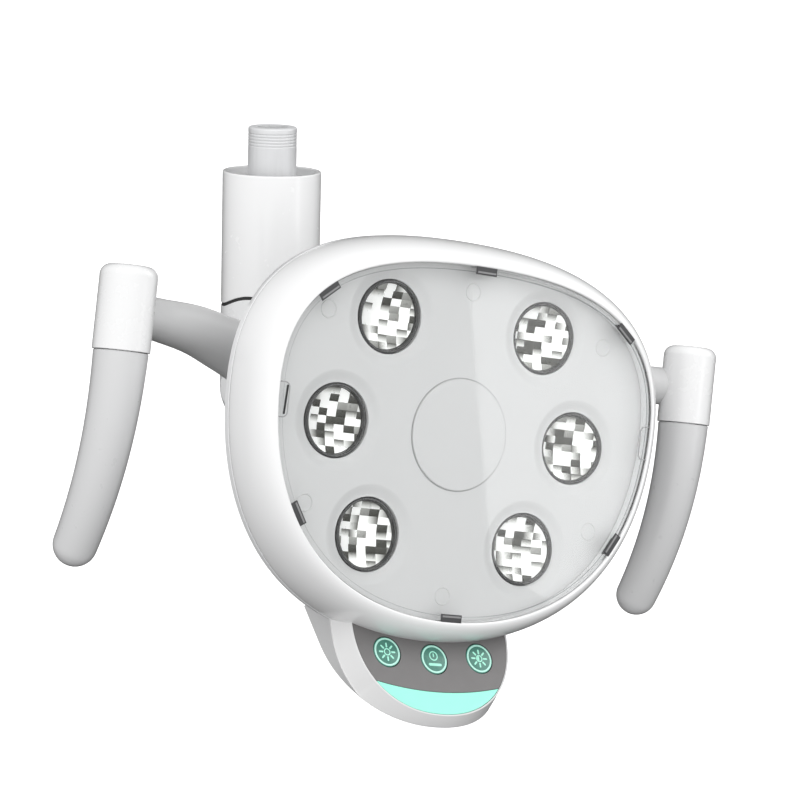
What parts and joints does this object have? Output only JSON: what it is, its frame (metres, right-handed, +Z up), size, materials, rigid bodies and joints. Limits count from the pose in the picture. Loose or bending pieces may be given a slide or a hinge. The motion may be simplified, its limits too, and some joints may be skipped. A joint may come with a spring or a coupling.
{
  "type": "dental operating light",
  "caption": "Dental operating light: a shield-shaped LED head with side grips and a key pod, rolling and tilting below a swivelling elbow on a mounting spigot.",
  "frame": {"origin": "centre of the upper end of the mounting spigot", "axes": "+Z up along the spigot; at swivel zero the light leaves towards -Y; +X is on the right of a person who faces the lamp"},
  "size_m": [0.3807, 0.2468, 0.271],
  "materials": {
    "spigot_aluminium": "satin turned aluminium",
    "connector_grey": "moulded light grey plastic",
    "steel": "zinc-plated steel",
    "cable_rubber": "black cable jacket",
    "sleeve_white": "glossy white plastic",
    "elbow_white": "white enamel on an aluminium casting",
    "bush_bronze": "sintered bronze",
    "neck_cast": "light grey enamel on an aluminium casting",
    "friction_lining": "fibre friction lining",
    "yoke_white": "satin white enamel on an aluminium casting",
    "bezel_white": "glossy white plastic",
    "shell_white": "satin white plastic",
    "clip_dark": "dark grey plastic",
    "panel_grey": "satin light grey plastic",
    "lens_clear": "clear polycarbonate with a polished edge",
    "rim_dark": "near-black plastic",
    "reflector_mirror": "metallised facets",
    "board_aluminium": "milled aluminium",
    "circuit_green": "green solder mask",
    "pod_white": "glossy white plastic",
    "pod_panel_dark": "warm dark grey overlay",
    "accent_mint": "mint green overlay",
    "key_teal": "translucent teal key",
    "cap_white": "glossy white plastic",
    "core_aluminium": "turned aluminium",
    "grip_grey": "light grey sterilisable plastic"
  },
  "bodies": {
    "mount": {"spigot": "spigot_aluminium", "connector_insert": "connector_grey", "retaining_ring": "steel", "supply_cable": "cable_rubber"},
    "elbow": {"sleeve_cover": "sleeve_white", "sleeve_screw": "steel", "elbow_body": "elbow_white", "swivel_bush_upper": "bush_bronze", "swivel_bush_lower": "bush_bronze", "tilt_bolt": "steel", "tilt_nut": "steel", "tilt_cap_left": "elbow_white", "tilt_cap_right": "elbow_white"},
    "neck": {"neck": "neck_cast", "friction_disc_left": "friction_lining", "friction_disc_right": "friction_lining", "roll_washer": "steel", "roll_nut": "steel"},
    "head": {"roll_bush_rear": "bush_bronze", "roll_bush_front": "bush_bronze", "handle_yoke": "yoke_white", "front_bezel": "bezel_white", "rear_shell": "shell_white", "lens_clip_1": "clip_dark", "lens_clip_2": "clip_dark", "lens_clip_3": "clip_dark", "lens_clip_4": "clip_dark", "lens_clip_5": "clip_dark", "lens_clip_6": "clip_dark", "face_panel": "panel_grey", "centre_cap": "panel_grey", "lens_cover": "lens_clear", "led_rim_1": "rim_dark", "led_rim_2": "rim_dark", "led_rim_3": "rim_dark", "led_rim_4": "rim_dark", "led_rim_5": "rim_dark", "led_rim_6": "rim_dark", "led_reflector_1": "reflector_mirror", "led_reflector_2": "reflector_mirror", "led_reflector_3": "reflector_mirror", "led_reflector_4": "reflector_mirror", "led_reflector_5": "reflector_mirror", "led_reflector_6": "reflector_mirror", "led_board": "board_aluminium", "heat_sink": "board_aluminium", "driver_board": "circuit_green", "key_board": "circuit_green", "pod_housing": "pod_white", "touch_panel": "pod_panel_dark", "accent_strip": "accent_mint", "handle_cap_left": "cap_white", "handle_cap_right": "cap_white", "grip_core_left": "core_aluminium", "grip_core_right": "core_aluminium"},
    "brightness_key": {"key_brightness": "key_teal"},
    "power_key": {"key_power": "key_teal"},
    "mode_key": {"key_mode": "key_teal"},
    "left_grip": {"grip_left": "grip_grey"},
    "right_grip": {"grip_right": "grip_grey"}
  },
  "joints": [
    {"name": "swivel", "type": "hinge", "parent": "mount", "child": "elbow", "pos_m": [0, 0, -0.1402], "axis": [0, 0, 1], "range_deg": [-165, 165]},
    {"name": "tilt", "type": "hinge", "parent": "elbow", "child": "neck", "pos_m": [0, 0, -0.1402], "axis": [1, 0, 0], "range_deg": [-20, 75]},
    {"name": "roll", "type": "hinge", "parent": "neck", "child": "head", "pos_m": [0, 0, -0.1402], "axis": [0, 0.9888, -0.149], "range_deg": [-56, 34]},
    {"name": "brightness_press", "type": "slide", "parent": "head", "child": "brightness_key", "axis": [-0.0833, 0.8246, -0.5595], "range_m": [0, 0.0006], "stiffness_N_per_m": 400, "springref_m": -0.0003},
    {"name": "power_press", "type": "slide", "parent": "head", "child": "power_key", "axis": [-0.0833, 0.8246, -0.5595], "range_m": [0, 0.0006], "stiffness_N_per_m": 400, "springref_m": -0.0003},
    {"name": "mode_press", "type": "slide", "parent": "head", "child": "mode_key", "axis": [-0.0833, 0.8246, -0.5595], "range_m": [0, 0.0006], "stiffness_N_per_m": 400, "springref_m": -0.0003},
    {"name": "left_grip_release", "type": "slide", "parent": "head", "child": "left_grip", "axis": [-0.1901, -0.1463, -0.9708], "range_m": [0, 0.028], "stiffness_N_per_m": 60, "springref_m": -0.01},
    {"name": "right_grip_release", "type": "slide", "parent": "head", "child": "right_grip", "axis": [-0.1901, -0.1463, -0.9708], "range_m": [0, 0.028], "stiffness_N_per_m": 60, "springref_m": -0.01}
  ]
}
